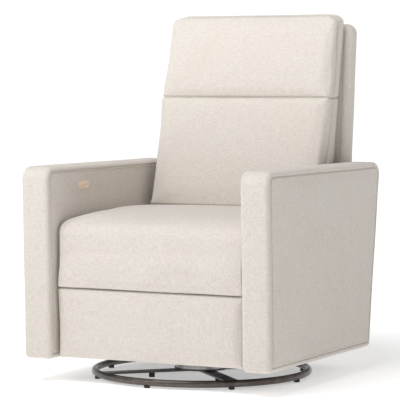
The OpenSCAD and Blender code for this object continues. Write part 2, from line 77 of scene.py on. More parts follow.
# Lean of the arm's front and rear edges over its height
ARM_FRONT_LEAN = 16 * MM
ARM_REAR_LEAN = 78 * MM
# Height of the seam between the back pad and the headrest
SEAM_Z = (BACK_HIGH[2] + HEAD_LOW[2]) / 2
# Front and rear lines of the back cushions: a place in y, the height it is given at, and the lean
CUSHION_FRONT_AT_SEAM = 226 * MM
CUSHION_LEAN = 0.272
CUSHION_REAR, CUSHION_REAR_HEIGHT = 260 * MM, 609 * MM
CUSHION_REAR_LEAN = 0.182
# The rear panel's outer face: the height at which it reaches furthest back, its lean and its thickness
PANEL_TOP_HEIGHT = 985 * MM
PANEL_LEAN = 0.088
PANEL_THICK = 60 * MM


def cushion_front(z):
    return CUSHION_FRONT_AT_SEAM + (z - SEAM_Z) * CUSHION_LEAN


def cushion_rear(z):
    return CUSHION_REAR + (z - CUSHION_REAR_HEIGHT) * CUSHION_REAR_LEAN


def panel_rear(z):
    return REAR_HIGH[1] + (z - PANEL_TOP_HEIGHT) * PANEL_LEAN


# ---------------------------------------------------------------- materials

class Nodes:
    """Short helper for building one node tree."""

    def __init__(self, name):
        self.material = bpy.data.materials.new(name)
        self.material.use_nodes = True
        self.tree = self.material.node_tree
        self.shader = self.tree.nodes["Principled BSDF"]

    def add(self, kind, **settings):
        node = self.tree.nodes.new(kind)
        for key, value in settings.items():
            if hasattr(node, key):
                setattr(node, key, value)
            else:
                node.inputs[key].default_value = value
        return node

    def link(self, source, target):
        self.tree.links.new(source, target)

    def coordinates(self, scale=(1, 1, 1)):
        place = self.add("ShaderNodeTexCoord")
        mapping = self.add("ShaderNodeMapping")
        mapping.inputs["Scale"].default_value = scale
        self.link(place.outputs["Object"], mapping.inputs["Vector"])
        return mapping.outputs["Vector"]

    def noise(self, scale, detail=2.0, roughness=0.5):
        node = self.add("ShaderNodeTexNoise")
        node.inputs["Scale"].default_value = 1.0
        node.inputs["Detail"].default_value = detail
        node.inputs["Roughness"].default_value = roughness
        self.link(self.coordinates(scale), node.inputs["Vector"])
        return node.outputs["Fac"]

    def math(self, operation, a, b=None):
        node = self.add("ShaderNodeMath", operation=operation)
        for index, value in enumerate((a, b)):
            if value is None:
                continue
            if isinstance(value, (int, float)):
                node.inputs[index].default_value = value
            else:
                self.link(value, node.inputs[index])
        return node.outputs[0]

    def spread(self, value, low, high):
        node = self.add("ShaderNodeMapRange")
        node.inputs["From Min"].default_value = low
        node.inputs["From Max"].default_value = high
        self.link(value, node.inputs["Value"])
        return node.outputs["Result"]

    def mix(self, factor, a, b):
        node = self.add("ShaderNodeMix", data_type="RGBA")
        self.link(factor, node.inputs[0])
        for socket, value in ((node.inputs[6], a), (node.inputs[7], b)):
            if isinstance(value, tuple):
                socket.default_value = value + (1.0,)
            else:
                self.link(value, socket)
        return node.outputs[2]

    def bump(self, height, strength, distance):
        node = self.add("ShaderNodeBump")
        node.inputs["Strength"].default_value = strength
        node.inputs["Distance"].default_value = distance
        self.link(height, node.inputs["Height"])
        self.link(node.outputs["Normal"], self.shader.inputs["Normal"])

    def finish(self, color, roughness, metallic=0.0, **sockets):
        if isinstance(color, tuple):
            self.shader.inputs["Base Color"].default_value = color + (1.0,)
        else:
            self.link(color, self.shader.inputs["Base Color"])
        if isinstance(roughness, (int, float)):
            self.shader.inputs["Roughness"].default_value = roughness
        else:
            self.link(roughness, self.shader.inputs["Roughness"])
        self.shader.inputs["Metallic"].default_value = metallic
        for key, value in sockets.items():
            self.shader.inputs[key.replace("_", " ")].default_value = value
        return self.material


def fabric(name, light, dark, warm):
    """Plain-weave linen: slubby threads along all three axes, a fine weave bump and soft soiling."""
    n = Nodes(name)
    long, short = 90.0, 620.0
    threads = n.math("ADD", n.math("ADD", n.noise((long, short, short)), n.noise((short, long, short))),
                     n.noise((short, short, long)))
    threads = n.spread(threads, 1.15, 1.85)
    cloud = n.spread(n.noise((9, 9, 9), 3.0), 0.3, 0.7)
    cloth = n.mix(threads, dark, light)
    tint = n.add("ShaderNodeMix", data_type="RGBA", blend_type="MULTIPLY")
    n.link(n.math("MULTIPLY", cloud, 0.4), tint.inputs[0])
    n.link(cloth, tint.inputs[6])
    tint.inputs[7].default_value = warm + (1.0,)
    weave_pitch = 2600.0
    position = n.coordinates((weave_pitch, weave_pitch, weave_pitch))
    axes = n.add("ShaderNodeSeparateXYZ")
    n.link(position, axes.inputs[0])
    sines = [n.math("SINE", axes.outputs[i]) for i in range(3)]
    weave = n.math("ADD", n.math("ADD", n.math("MULTIPLY", sines[0], sines[1]),
                                 n.math("MULTIPLY", sines[1], sines[2])),
                   n.math("MULTIPLY", sines[0], sines[2]))
    height = n.math("ADD", n.math("MULTIPLY", weave, 0.25), threads)
    n.bump(height, 0.55, 0.0006)
    return n.finish(tint.outputs[2], 0.93, Sheen_Weight=0.25, Sheen_Roughness=0.5, Specular_IOR_Level=0.2)


def metal(name, color, roughness, metallic=1.0, grain=(300, 300, 300), relief=0.15, coat=0.0):
    n = Nodes(name)
    texture = n.noise(grain, 4.0)
    wear = n.spread(n.noise((35, 35, 35), 5.0), 0.45, 0.8)
    bright = tuple(min(1.0, c * 1.5 + 0.02) for c in color)
    rough = n.add("ShaderNodeMapRange")
    rough.inputs["To Min"].default_value = roughness * 0.8
    rough.inputs["To Max"].default_value = min(1.0, roughness * 1.3)
    n.link(texture, rough.inputs["Value"])
    n.bump(texture, relief, 0.0003)
    return n.finish(n.mix(wear, color, bright), rough.outputs["Result"], metallic, Coat_Weight=coat)


def timber(name):
    n = Nodes(name)
    rings = n.add("ShaderNodeTexWave", wave_type="BANDS", bands_direction="Z")
    rings.inputs["Scale"].default_value = 1.0
    rings.inputs["Distortion"].default_value = 6.0
    rings.inputs["Detail"].default_value = 3.0
    n.link(n.coordinates((4, 4, 60)), rings.inputs["Vector"])
    pores = n.noise((30, 900, 900), 3.0)
    color = n.mix(rings.outputs["Fac"], (0.55, 0.40, 0.24), (0.68, 0.53, 0.35))
    n.bump(pores, 0.3, 0.0004)
    return n.finish(color, 0.7)


def plastic(name, color, roughness=0.5):
    n = Nodes(name)
    speck = n.noise((900, 900, 900), 3.0)
    light = tuple(min(1.0, c * 1.25 + 0.01) for c in color)
    n.bump(speck, 0.2, 0.0002)
    return n.finish(n.mix(n.spread(speck, 0.3, 0.7), color, light), roughness)


LINEN = fabric("linen", (0.71, 0.665, 0.617), (0.55, 0.505, 0.455), (0.96, 0.94, 0.91))
THREAD = fabric("linen_thread", (0.50, 0.44, 0.37), (0.34, 0.29, 0.23), (0.76, 0.72, 0.66))
BRONZE = metal("bronze_coat", (0.095, 0.08, 0.073), 0.38, 0.75, relief=0.25, coat=0.25)
BLACK_STEEL = metal("black_powder_coat", (0.03, 0.03, 0.032), 0.5, 0.3, relief=0.3)
ZINC = metal("zinc_plate", (0.55, 0.56, 0.58), 0.33, 1.0, grain=(60, 500, 500))
ROSE = metal("rose_gold", (0.86, 0.68, 0.55), 0.34, 0.6, grain=(900, 40, 900), relief=0.1)
BRASS = metal("brass_pin", (0.72, 0.55, 0.26), 0.35, 1.0)
TIMBER = timber("bare_timber")
NYLON = plastic("black_nylon", (0.02, 0.02, 0.022), 0.45)
GLIDE = plastic("glide_rubber", (0.015, 0.015, 0.016), 0.7)
MARK = plastic("mark_ink", (0.25, 0.16, 0.11), 0.5)

SLOT_MATERIALS = {
    "linen_fabric": LINEN, "bronze_metal": BRONZE, "black_steel": BLACK_STEEL, "plain_steel": ZINC,
    "timber": TIMBER, "nylon": NYLON, "glide_plastic": GLIDE, "rose_metal": ROSE, "brass": BRASS,
}


def dress_cad_nodes():
    slots = {entry["node"]: entry["material_slot"] for entry in frame["record"]["subparts"]}
    for name, obj in frame["nodes"].items():
        if not obj.material_slots:
            obj.data.materials.append(None)
        for place in obj.material_slots:
            place.material = SLOT_MATERIALS[slots[name]]


# ---------------------------------------------------------------- mesh helpers

def make_object(name, vertices, faces, material):
    mesh = bpy.data.meshes.new(name)
    mesh.from_pydata([tuple(v) for v in vertices], [], faces)
    mesh.materials.append(material)
    mesh.update()
    mesh.shade_smooth()
    obj = bpy.data.objects.new(name, mesh)
    bpy.context.scene.collection.objects.link(obj)
    return obj


def face_outward(obj):
    work = bmesh.new()
    work.from_mesh(obj.data)
    bmesh.ops.recalc_face_normals(work, faces=work.faces)
    work.to_mesh(obj.data)
    work.free()


def read_points(obj):
    points = np.empty(len(obj.data.vertices) * 3)
    obj.data.vertices.foreach_get("co", points)
    return points.reshape(-1, 3)


def read_normals(obj):
    normals = np.empty(len(obj.data.vertices) * 3)
    obj.data.vertices.foreach_get("normal", normals)
    return normals.reshape(-1, 3)


def write_points(obj, points):
    obj.data.vertices.foreach_set("co", points.ravel())
    obj.data.update()


def axis_samples(low, high, round_low, round_high, step, fine=()):
    """Coordinates along one axis of a box: even inside, and spaced by angle in the rounded ends."""
    arc = 5
    start, end = low + round_low, high - round_high
    count = max(2, int(round((end - start) / step)))
    inner = [start + (end - start) * i / count for i in range(count + 1)]
    for seam in fine:
        inner = [v for v in inner if abs(v - seam) > 7 * MM or v in (start, end)]
        inner += [seam + offset * MM for offset in (-5, -2, -0.8, 0, 0.8, 2, 5)]
    inner = sorted(v for v in inner if start - 1e-9 <= v <= end + 1e-9)
    before = [start - round_low * math.tan(math.radians(45 * k / arc)) for k in range(arc, 0, -1)]
    after = [end + round_high * math.tan(math.radians(45 * k / arc)) for k in range(1, arc + 1)]
    return before + inner + after


def pad_mesh(name, low, high, radii, material, step=12 * MM, fine=((), (), ())):
    """Box with elliptic rounded edges as an even quad mesh; radii are ((x-, x+), (y-, y+), (z-, z+))."""
    axes = [axis_samples(low[i], high[i], radii[i][0], radii[i][1], step, fine[i]) for i in range(3)]
    sizes = [len(a) for a in axes]
    index, points, faces = {}, [], []

    def vertex(i, j, k):
        key = (i, j, k)
        if key not in index:
            place = np.array([axes[0][i], axes[1][j], axes[2][k]])
            core, bulge = place.copy(), np.zeros(3)
            scale = np.ones(3)
            for a in range(3):
                inner_low, inner_high = low[a] + radii[a][0], high[a] - radii[a][1]
                core[a] = min(max(place[a], inner_low), inner_high)
                scale[a] = radii[a][0] if place[a] < inner_low else radii[a][1]
                bulge[a] = (place[a] - core[a]) / scale[a]
            length = np.linalg.norm(bulge)
            index[key] = len(points)
            points.append(core + scale * bulge / length)
        return index[key]

    for axis in range(3):
        a, b = [n for n in range(3) if n != axis]
        for end in (0, sizes[axis] - 1):
            for p in range(sizes[a] - 1):
                for q in range(sizes[b] - 1):
                    corners = []
                    for dp, dq in ((0, 0), (1, 0), (1, 1), (0, 1)):
                        key = [0, 0, 0]
                        key[axis], key[a], key[b] = end, p + dp, q + dq
                        corners.append(vertex(*key))
                    faces.append(corners)
    obj = make_object(name, points, faces, material)
    face_outward(obj)
    return obj


def rounded_outline(corners, radii, step):
    """Closed outline through (u, v) corners with round corners, as evenly spaced points."""
    points = []
    count = len(corners)
    for i in range(count):
        before, at, after = (np.array(corners[(i + k) % count], float) for k in (-1, 0, 1))
        to_before = (before - at) / np.linalg.norm(before - at)
        to_after = (after - at) / np.linalg.norm(after - at)
        half = math.acos(float(to_before @ to_after)) / 2
        middle = to_before + to_after
        centre = at + middle / np.linalg.norm(middle) * radii[i] / math.sin(half)
        first = at + to_before * radii[i] / math.tan(half) - centre
        last = at + to_after * radii[i] / math.tan(half) - centre
        a0 = math.atan2(first[1], first[0])
        sweep = (math.atan2(last[1], last[0]) - a0 + math.pi) % (2 * math.pi) - math.pi
        steps = max(6, int(abs(sweep) * radii[i] / (step * 0.6)))
        for k in range(steps + 1):
            angle = a0 + sweep * k / steps
            points.append(centre + radii[i] * np.array([math.cos(angle), math.sin(angle)]))
    filled = []
    for i, point in enumerate(points):
        after = points[(i + 1) % len(points)]
        pieces = max(1, int(np.linalg.norm(after - point) / step))
        filled += [point + (after - point) * k / pieces for k in range(pieces)]
    return np.array(filled)


def outline_normals(outline):
    tangent = np.roll(outline, -1, 0) - np.roll(outline, 1, 0)
    normal = np.stack([tangent[:, 1], -tangent[:, 0]], 1)
    normal /= np.linalg.norm(normal, axis=1)[:, None]
    centre = outline.mean(0)
    outward = ((outline - centre) * normal).sum(1).sum()
    return normal if outward > 0 else -normal


def shrink_outline(outline, inset):
    """A convex outline moved inward, its points kept in order and pulled together where a corner closes."""
    normal = outline_normals(outline)
    limit = (normal * outline).sum(1) - inset
    points = outline - normal * inset
    rows = np.arange(len(points))
    for _ in range(60):
        over = points @ normal.T - limit
        worst = over.argmax(1)
        push = np.maximum(over[rows, worst], 0.0)
        points -= normal[worst] * push[:, None]
        if push.max() < 1e-6:
            break
    return points


def spread_evenly(loop):
    """The same closed outline with its points evenly spaced, shifted along it as little as possible."""
    steps = np.linalg.norm(np.roll(loop, -1, 0) - loop, axis=1)
    along = np.concatenate([[0.0], steps.cumsum()])
    want = np.arange(len(loop)) / len(loop) * along[-1]
    want = (want + (along[:-1] - want).mean()) % along[-1]
    closed = np.vstack([loop, loop[:1]])
    return np.stack([np.interp(want, along, closed[:, k]) for k in (0, 1)], 1)


def slab_rings(thick, edges, seam_back, groove, band_step=12 * MM):
    """(inset, depth) of each ring from one face's rim, over the band, to the other face's rim."""
    rings = []
    for side, edge in ((0, edges[0]), (1, edges[1])):
        half = [(edge + extra * MM, 0.0) for extra in (14, 9, 6)]
        for offset, share in ((3.4, 0.1), (2.0, 0.5), (1.0, 1.0), (0.0, 0.5)):
            half.append((edge + (offset + seam_back) * MM, groove * share))
        for angle in range(10, 91, 10):
            a = math.radians(angle)
            half.append((edge * (1 - math.sin(a)), edge * (1 - math.cos(a))))
        if side:
            half = [(inset, thick - depth) for inset, depth in half]
        rings.append(half)
    start, end = edges[0], thick - edges[1]
    count = max(2, int((end - start) / band_step))
    band = [(0.0, start + (end - start) * i / count) for i in range(1, count)]
    return rings[0] + band + rings[1][::-1]


def slab_mesh(name, outline, thick, edges, place, material, groove=1.6 * MM, seam_back=0.0,
              crowns=(0.0, 0.0)):
    """Upholstered slab: a band round an outline between two faces, with a seam groove at each face's rim.

    crowns gives how far the middle of each face swells out.
    """
    centre = (outline.max(0) + outline.min(0)) / 2
    half = (outline.max(0) - outline.min(0)) / 2
    rings = slab_rings(thick, edges, seam_back, groove)
    shares = [0.96, 0.92, 0.86, 0.78, 0.69, 0.59, 0.48, 0.37, 0.26, 0.15, 0.06]
    count = len(outline)

    def rise(u, v, crown):
        across, along = (u - centre[0]) / half[0], (v - centre[1]) / half[1]
        return crown * max(0.0, 1 - across ** 4) * max(0.0, 1 - along ** 4)

    def inner_ring(rim, share):
        even = min(1.0, (1 - share) / 0.3)
        return centre + (rim * (1 - even) + spread_evenly(rim) * even - centre) * share

    first_rim = shrink_outline(outline, rings[0][0])
    last_rim = shrink_outline(outline, rings[-1][0])
    points = [place(centre[0], centre[1], -rise(*centre, crowns[0]))]
    for share in shares[::-1]:
        points += [place(u, v, -rise(u, v, crowns[0])) for u, v in inner_ring(first_rim, share)]
    for inset, depth in rings:
        points += [place(u, v, depth) for u, v in shrink_outline(outline, inset)]
    for share in shares:
        points += [place(u, v, thick + rise(u, v, crowns[1])) for u, v in inner_ring(last_rim, share)]
    points.append(place(centre[0], centre[1], thick + rise(*centre, crowns[1])))
    total = (len(points) - 2) // count
    faces = []
    for i in range(count):
        j = (i + 1) % count
        faces.append((0, 1 + j, 1 + i))
        for r in range(total - 1):
            a, b = 1 + r * count, 1 + (r + 1) * count
            faces.append((a + i, a + j, b + j, b + i))
        end = 1 + (total - 1) * count
        faces.append((len(points) - 1, end + i, end + j))
    obj = make_object(name, points, faces, material)
    merge_close(obj)
    face_outward(obj)
    return obj


def merge_close(obj, distance=0.2 * MM):
    work = bmesh.new()
    work.from_mesh(obj.data)
    bmesh.ops.remove_doubles(work, verts=work.verts, dist=distance)
    work.to_mesh(obj.data)
    work.free()


def ripple(obj, height, size, seed):
    """Slow unevenness of padding under cloth."""
    points, normals = read_points(obj), read_normals(obj)
    shift = Vector((seed * 3.1, seed * 1.7, seed * 5.3))
    amount = np.array([noise.noise(Vector(p) / size + shift) for p in points]) * height
    write_points(obj, points + normals * amount[:, None])


CLOTH_FRAMES = 20


def inflate(obj, pressure, cap, hold):
    """Cloth simulation with air pressure; hold gives each point a pin weight, and none moves over cap."""
    scene = bpy.context.scene
    rest = read_points(obj)
    weights = np.array([hold(p) for p in rest])
    group = obj.vertex_groups.new(name="hold")
    levels = np.round(weights, 2)
    for level in np.unique(levels):
        if level > 0:
            group.add([int(i) for i in np.where(levels == level)[0]], float(level), "REPLACE")
    cloth = obj.modifiers.new("cloth", "CLOTH")
    settings = cloth.settings
    settings.use_pressure = True
    settings.uniform_pressure_force = pressure
    settings.effector_weights.gravity = 0.0
    settings.vertex_group_mass = "hold"
    settings.quality = 4
    settings.mass = 0.25
    settings.tension_stiffness = 25
    settings.compression_stiffness = 8
    settings.shear_stiffness = 12
    settings.bending_stiffness = 0.6
    cloth.point_cache.frame_end = CLOTH_FRAMES
    for number in range(1, CLOTH_FRAMES + 1):
        scene.frame_set(number)
    view = bpy.context.evaluated_depsgraph_get()
    result = obj.evaluated_get(view).to_mesh()
    moved = np.empty(len(result.vertices) * 3)
    result.vertices.foreach_get("co", moved)
    moved = moved.reshape(-1, 3)
    obj.modifiers.remove(cloth)
    obj.vertex_groups.remove(group)
    scene.frame_set(1)
    change = moved - rest
    length = np.linalg.norm(change, axis=1)
    limit = np.where(length > cap, cap / np.maximum(length, 1e-9), 1.0)
    write_points(obj, rest + change * limit[:, None])


def smooth_more(obj, levels=1):
    modifier = obj.modifiers.new("smooth", "SUBSURF")
    modifier.levels = levels
    modifier.render_levels = levels


def surface_tree(obj):
    view = bpy.context.evaluated_depsgraph_get()
    return BVHTree.FromObject(obj, view)


STITCH_SIDES = 6


def stitch_row(name, host, path, closed, body, pitch=7.5 * MM, length=5.2 * MM, radius=0.8 * MM):
    """A row of short thread stitches laid on a host piece along a path."""
    tree = surface_tree(host)
    path = np.array(path, float)
    if closed:
        path = np.vstack([path, path[:1]])
    run = np.concatenate([[0], np.cumsum(np.linalg.norm(np.diff(path, axis=0), axis=1))])
    count = int(run[-1] / pitch)
    points, faces = [], []
    for number in range(count):
        middle = (number + 0.5) * pitch
        ends = []
        for at in (middle - length / 2, middle, middle + length / 2):
            guess = Vector([np.interp(at, run, path[:, a]) for a in range(3)])
            spot, normal, _, _ = tree.find_nearest(guess)
            ends.append((spot, normal))
        lift = (-0.2 * MM, radius * 0.8, -0.2 * MM)
        along = (ends[2][0] - ends[0][0]).normalized()
        across = along.cross(ends[1][1]).normalized()
        up = across.cross(along).normalized()
        start = len(points)
        for (spot, normal), rise, wide in zip(ends, lift, (0.6, 1.0, 0.6)):
            for k in range(STITCH_SIDES):
                angle = math.tau * k / STITCH_SIDES
                offset = across * math.cos(angle) * radius * wide + up * math.sin(angle) * radius * wide
                points.append(spot + normal * rise + offset)
        for ring in range(2):
            for k in range(STITCH_SIDES):
                a = start + ring * STITCH_SIDES + k
                b = start + ring * STITCH_SIDES + (k + 1) % STITCH_SIDES
                faces.append((a, b, b + STITCH_SIDES, a + STITCH_SIDES))
        faces.append(tuple(start + k for k in range(STITCH_SIDES - 1, -1, -1)))
        faces.append(tuple(start + 2 * STITCH_SIDES + k for k in range(STITCH_SIDES)))
    obj = make_object(name, points, faces, THREAD)
    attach(obj, body)
    return obj


def soft(obj, body, fill, *nodes):
    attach(obj, body)
    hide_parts(*nodes)
    return obj


# ---------------------------------------------------------------- arms

ARM_EDGE = 13 * MM
ARM_CORNER = 36 * MM


def arm_outline():
    corners = [
        (ARM_LOW[1] + ARM_FRONT_LEAN, ARM_LOW[2]),
        (ARM_HIGH[1] - ARM_REAR_LEAN, ARM_LOW[2]),
        (ARM_HIGH[1], ARM_HIGH[2]),
        (ARM_LOW[1], ARM_HIGH[2]),
    ]
    return rounded_outline(corners, [ARM_EDGE * 1.05, ARM_EDGE * 1.05, ARM_CORNER, ARM_CORNER], 9 * MM)


def build_arm(side):
    name = "left_arm" if side > 0 else "right_arm"
    inner = side * ARM_LOW[0]
    outline = arm_outline()
    thick = ARM_HIGH[0] - ARM_LOW[0]

    def place(u, v, depth):
        return (inner + side * depth, u, v)

    arm = slab_mesh(name, outline, thick, (ARM_EDGE, ARM_EDGE), place, LINEN, seam_back=1.0,
                    crowns=(0.3 * MM, 5 * MM), groove=3.2 * MM)
    ripple(arm, 0.6 * MM, 0.13, 1 + side)
    soft(arm, "chassis", 0.9, name + "_cover")
    seam = shrink_outline(outline, ARM_EDGE + 6 * MM)
    above = outline[:, 1] > ARM_LOW[2] + 20 * MM
    first = int(np.argmax(above & ~np.roll(above, 1)))
    order = [i % len(outline) for i in range(first, first + len(outline)) if above[i % len(outline)]]
    for label, depth in (("inner", 0.0), ("outer", thick)):
        path = [place(*seam[i], depth) for i in order]
        stitch_row(f"{name}_{label}_stitches", arm, path, False, "chassis")
    return arm


# ---------------------------------------------------------------- cushions

def warp(obj, change):
    points = read_points(obj)
    write_points(obj, np.array([change(*p) for p in points]))


# How far the seat and the footrest each reach into the gap between them
SEAM_CLOSE = 2.1 * MM


def build_seat():
    low, high = SEAT_LOW.copy(), SEAT_HIGH.copy()
    flat_top = low[2] + 200 * MM
    crest = high[2] - 7 * MM
    front_fall, rear_fall, side_fall = 22 * MM, 12 * MM, 6 * MM
    nose = 50 * MM
    nose_drop = 32 * MM
    tuck_start, tuck_run, tuck_drop = 128 * MM, 11 * MM, 6 * MM
    seat = pad_mesh(
        "seat", (low[0], low[1], low[2] - SEAM_CLOSE), (high[0], high[1], flat_top),
        ((12 * MM, 12 * MM), (18 * MM, 5 * MM), (6 * MM, 14 * MM)), LINEN,
        fine=((), (tuck_start + tuck_run / 2,), ()))

    def top_height(x, y):
        reach = (y - low[1]) / (high[1] - low[1])
        crown = crest - front_fall * (max(0.0, 0.55 - reach) / 0.55) ** 2
        crown -= rear_fall * (max(0.0, reach - 0.5) / 0.5) ** 2
        across = abs(x) / high[0]
        crown -= side_fall * across ** 4
        ahead = max(0.0, 1 - (y - low[1]) / nose)
        tuck = min(1.0, max(0.0, (y - tuck_start) / tuck_run))
        crown -= tuck_drop * tuck * tuck * (3 - 2 * tuck)
        return crown - nose_drop * (1 - math.sqrt(max(0.0, 1 - ahead ** 2)))

    def change(x, y, z):
        share = max(0.0, (z - low[2]) / (flat_top - low[2]))
        return (x, y, min(z, low[2]) + share * (top_height(x, y) - low[2]))

    def hold(p):
        return 1.0 if p[2] < low[2] + 14 * MM or p[1] > high[1] - 20 * MM else 0.0

    warp(seat, change)
    inflate(seat, 3.0, 5 * MM, hold)
    keep_inside(seat, SEAT_LOW - np.array([1.5, 4, 2.0]) * MM, SEAT_HIGH + np.array([1.5, 0, 4]) * MM)
    ripple(seat, 1.2 * MM, 0.16, 4)
    smooth_more(seat)
    soft(seat, "chassis", 0.85, "seat_cushion")
    return seat


def keep_inside(obj, low, high):
    write_points(obj, np.clip(read_points(obj), low, high))


# How far the footrest's cover reaches back round the edges of its board
BOARD_WRAP = 9 * MM


def build_footrest():
    low, high = FOOT_LOW.copy(), FOOT_HIGH + np.array([0, BOARD_WRAP, SEAM_CLOSE])
    pad = pad_mesh(
        "footrest_cushion", low, high,
        ((12 * MM, 12 * MM), (18 * MM, 1.5 * MM), (10 * MM, 6 * MM)), LINEN)

    def change(x, y, z):
        across = 1 - (x / high[0]) ** 4
        up = (z - low[2]) / (high[2] - low[2])
        swell = 5 * MM * across * math.sin(math.pi * min(max(up, 0), 1)) ** 0.6
        share = (high[1] - y) / (high[1] - low[1])
        return (x, y - swell * share + 4 * MM * share, z)

    def hold(p):
        return 1.0 if p[1] > high[1] - 20 * MM or p[2] > high[2] - 14 * MM else 0.0

    warp(pad, change)
    inflate(pad, 2.0, 4 * MM, hold)
    keep_inside(pad, low - np.array([1.5, 5, 1]) * MM, high + np.array([1.5, 0, 0.2]) * MM)
    ripple(pad, 0.8 * MM, 0.15, 7)
    smooth_more(pad)
    soft(pad, "footrest", 0.85, "footrest_pad")
    return pad


# How far the back pads stand ahead of their solids, to close over the head hinges
SEAM_COVER = 5.5 * MM
# How far they reach behind the boards, to wrap them
BOARD_COVER = 3 * MM
# Rounding of a pad's front edges, in depth
BOX_FRONT = 20 * MM
# Where the seam between front panel and boxing runs, as a share of the depth
SEAM_DEPTH = 0.44


def build_back_pad(name, body, node, z0, z1, round_low, round_high, corner, seed):
    """Boxed cushion between the leaning front and rear lines; depth runs from 0 in front to 1 behind.

    corner gives how far the pad narrows over its foot and its head, as a radius seen from the front.
    """
    half = BACK_HIGH[0]
    deep = 90 * MM
    seam = SEAM_DEPTH * deep
    pad = pad_mesh(
        name, (-half, 0.0, z0), (half, deep, z1),
        ((14 * MM, 14 * MM), (BOX_FRONT, 8 * MM), (round_low, round_high)), LINEN,
        fine=((), (seam,), ()))
    height = z1 - z0

    def change(x, y, z):
        share = y / deep
        up = (z - z0) / height
        front, rear = cushion_front(z), cushion_rear(z)
        across = max(0.0, 1 - (abs(x) / half) ** 3)
        swell = 5 * MM * across * max(0.0, math.sin(math.pi * min(max(up, 0.0), 1.0))) ** 0.5
        tuck = 0.0
        for end, radius in ((z0, corner[0]), (z1, corner[1])):
            near = max(0.0, 1 - abs(z - end) / radius) if radius else 0.0
            tuck += radius * (1 - math.sqrt(max(0.0, 1 - near ** 2))) if radius else 0.0
        squeeze = 1 - tuck / half
        y_place = front + (rear - front) * share - (swell + SEAM_COVER) * (1 - share) + BOARD_COVER * share
        return (x * squeeze, y_place, z)

    warp(pad, change)

    def hold(p):
        share = (p[1] - cushion_front(p[2])) / (cushion_rear(p[2]) - cushion_front(p[2]))
        return 1.0 if share > 0.8 or abs(p[2] - SEAM_Z) < 14 * MM else 0.0

    rest = read_points(pad)
    inflate(pad, 3.0, 6 * MM, hold)
    points = read_points(pad)
    points[:, 0] = np.clip(points[:, 0], -half - 3 * MM, half + 3 * MM)
    points[:, 2] = np.clip(points[:, 2], rest[:, 2].min() - 0.3 * MM, rest[:, 2].max() + 2 * MM)
    write_points(pad, points)
    ripple(pad, 1.1 * MM, 0.17, seed)
    groove_boxing(pad, half)
    smooth_more(pad)
    soft(pad, body, 0.8, node)
    return pad


def boxing_share(p):
    front, rear = cushion_front(p[2]), cushion_rear(p[2])
    return (p[1] - front) / (rear - front)


def groove_boxing(pad, half):
    """Sinks the seam between the front panel and the boxing."""
    usual_depth, seam_width, seam_sink = 85 * MM, 3.0 * MM, 3.6 * MM
    points, normals = read_points(pad), read_normals(pad)
    share = np.array([boxing_share(p) for p in points])
    distance = (share - SEAM_DEPTH) * usual_depth
    on_side = np.clip((np.abs(points[:, 0]) - half * 0.9) / (half * 0.05), 0, 1)
    sink = np.exp(-((distance / seam_width) ** 2)) * on_side * seam_sink
    write_points(pad, points - normals * sink[:, None])


def boxing_stitches(pad, body, z0, z1):
    half = BACK_HIGH[0]
    steps = 40
    for label, side in (("left", 1), ("right", -1)):
        path = []
        for k in range(steps + 1):
            z = z0 + (z1 - z0) * k / steps
            front, rear = cushion_front(z), cushion_rear(z)
            path.append((side * half, front + (rear - front) * SEAM_DEPTH - 5 * MM, z))
        stitch_row(f"{pad.name}_{label}_stitches", pad, path, False, body)


def build_back():
    pad = build_back_pad("back_pad", "back", "back_cushion", BACK_LOW[2] - 10 * MM, SEAM_Z - 0.3 * MM,
                         10 * MM, 7 * MM, (0, 0), 11)
    boxing_stitches(pad, "back", BACK_LOW[2] + 20 * MM, BACK_HIGH[2] - 10 * MM)
    return pad


def build_head():
    pad = build_back_pad("head_pad", "head", "head_cushion", SEAM_Z + 0.3 * MM, HEAD_HIGH[2],
                         7 * MM, 20 * MM, (0, 30 * MM), 13)
    boxing_stitches(pad, "head", HEAD_LOW[2] + 10 * MM, HEAD_HIGH[2] - 30 * MM)
    return pad


# A strip of plain cloth: its thickness and its rounded edges
CLOTH_THICK = 1.5 * MM
CLOTH_RADII = ((0.5 * MM, 0.5 * MM),) * 3


def build_seam_gusset():
    """Folded cloth inside the seam that hides the head hinges."""
    half = BACK_HIGH[0] - 6 * MM
    reach = 12 * MM
    front, rear = cushion_front(SEAM_Z) + 0.8 * MM, cushion_rear(SEAM_Z) - 6 * MM
    gusset = pad_mesh("seam_gusset", (-half, front, SEAM_Z - reach), (half, rear, SEAM_Z + reach),
                      ((2 * MM, 2 * MM),) * 3, LINEN, step=6 * MM)
    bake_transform(gusset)


def build_recline_gusset():
    """Cloth flap that closes the gap between the rear panel and the skirt."""
    half = LOWER_HIGH[0] - 12 * MM
    low, high, front = LOWER_HIGH[2] - 8 * MM, REAR_LOW[2] + 10 * MM, 297.5 * MM
    gusset = pad_mesh("recline_gusset", (-half, front, low), (half, front + CLOTH_THICK, high),
                      CLOTH_RADII, LINEN, step=6 * MM)
    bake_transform(gusset)


def build_seat_drop():
    """Cloth from the seat's rear edge to the foot of the back."""
    half = SEAT_HIGH[0] - 4 * MM
    low, high = SEAT_HIGH[2] - 62 * MM, BACK_LOW[2] + 2 * MM
    near, far = SEAT_HIGH[1] + 4 * MM, cushion_rear(high) - 6 * MM
    drop = pad_mesh("seat_drop", (-half, 0.0, low), (half, CLOTH_THICK, high), CLOTH_RADII, LINEN,
                    step=6 * MM)

    def lean(x, y, z):
        return (x, near + (far - near) * (z - low) / (high - low) + y, z)

    warp(drop, lean)
    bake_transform(drop)


